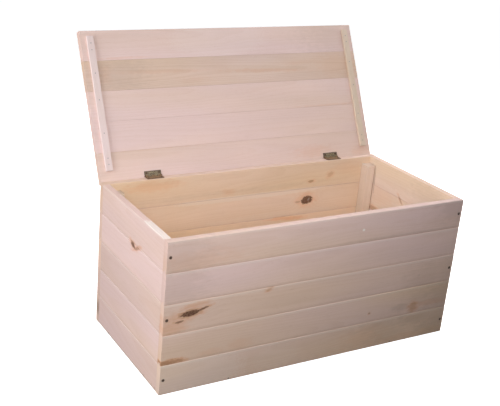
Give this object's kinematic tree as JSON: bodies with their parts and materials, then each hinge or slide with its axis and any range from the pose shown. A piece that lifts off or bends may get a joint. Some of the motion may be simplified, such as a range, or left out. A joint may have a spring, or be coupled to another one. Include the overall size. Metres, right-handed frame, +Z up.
{
  "type": "toy box",
  "caption": "Wooden toy box of tongue-and-groove boards with an open-topped interior and a battened lid on butt hinges at its back.",
  "frame": {"origin": "middle of the base, where the box stands on the floor", "axes": "+X along the box to the viewer's right, +Y from the front to the hinged back, +Z up"},
  "size_m": [0.914, 0.6329, 0.7837],
  "materials": {
    "pine_wall": "bare sanded pine, fine grain, a few knots",
    "pine_lid": "bare sanded pine, slightly pink",
    "pine_trim": "bare sawn pine strip",
    "plywood_floor": "bare plywood",
    "antique_brass": "antique brass plate, dulled, worn at the edges",
    "dark_steel": "dark oxide screw heads"
  },
  "bodies": {
    "box": {"front_board_1": "pine_wall", "front_board_2": "pine_wall", "front_board_3": "pine_wall", "front_board_4": "pine_wall", "front_board_5": "pine_wall", "back_board_1": "pine_wall", "back_board_2": "pine_wall", "back_board_3": "pine_wall", "back_board_4": "pine_wall", "back_board_5": "pine_wall", "left_board_1": "pine_wall", "left_board_2": "pine_wall", "left_board_3": "pine_wall", "left_board_4": "pine_wall", "left_board_5": "pine_wall", "right_board_1": "pine_wall", "right_board_2": "pine_wall", "right_board_3": "pine_wall", "right_board_4": "pine_wall", "right_board_5": "pine_wall", "floor_panel": "plywood_floor", "front_left_post": "pine_trim", "back_left_post": "pine_trim", "front_right_post": "pine_trim", "back_right_post": "pine_trim", "front_left_screw_1": "dark_steel", "front_right_screw_1": "dark_steel", "front_left_screw_3": "dark_steel", "front_right_screw_3": "dark_steel", "front_left_screw_5": "dark_steel", "front_right_screw_5": "dark_steel", "back_left_screw_1": "dark_steel", "back_right_screw_1": "dark_steel", "back_left_screw_3": "dark_steel", "back_right_screw_3": "dark_steel", "back_left_screw_5": "dark_steel", "back_right_screw_5": "dark_steel", "left_hinge_box_leaf": "antique_brass", "left_hinge_pin": "antique_brass", "right_hinge_box_leaf": "antique_brass", "right_hinge_pin": "antique_brass", "left_hinge_box_screw_1": "antique_brass", "left_hinge_box_screw_2": "antique_brass", "right_hinge_box_screw_1": "antique_brass", "right_hinge_box_screw_2": "antique_brass"},
    "lid": {"lid_board_1": "pine_lid", "lid_board_2": "pine_lid", "lid_board_3": "pine_lid", "lid_board_4": "pine_lid", "lid_board_5": "pine_lid", "lid_cleat_left": "pine_trim", "lid_cleat_right": "pine_trim", "left_hinge_lid_leaf": "antique_brass", "right_hinge_lid_leaf": "antique_brass", "left_hinge_lid_screw_1": "antique_brass", "left_hinge_lid_screw_2": "antique_brass", "right_hinge_lid_screw_1": "antique_brass", "right_hinge_lid_screw_2": "antique_brass"}
  },
  "joints": [
    {"name": "lid_hinge", "type": "hinge", "parent": "box", "child": "lid", "pos_m": [0, 0.2126, 0.4175], "axis": [1, 0, 0], "range_deg": [0, 118.1]}
  ]
}
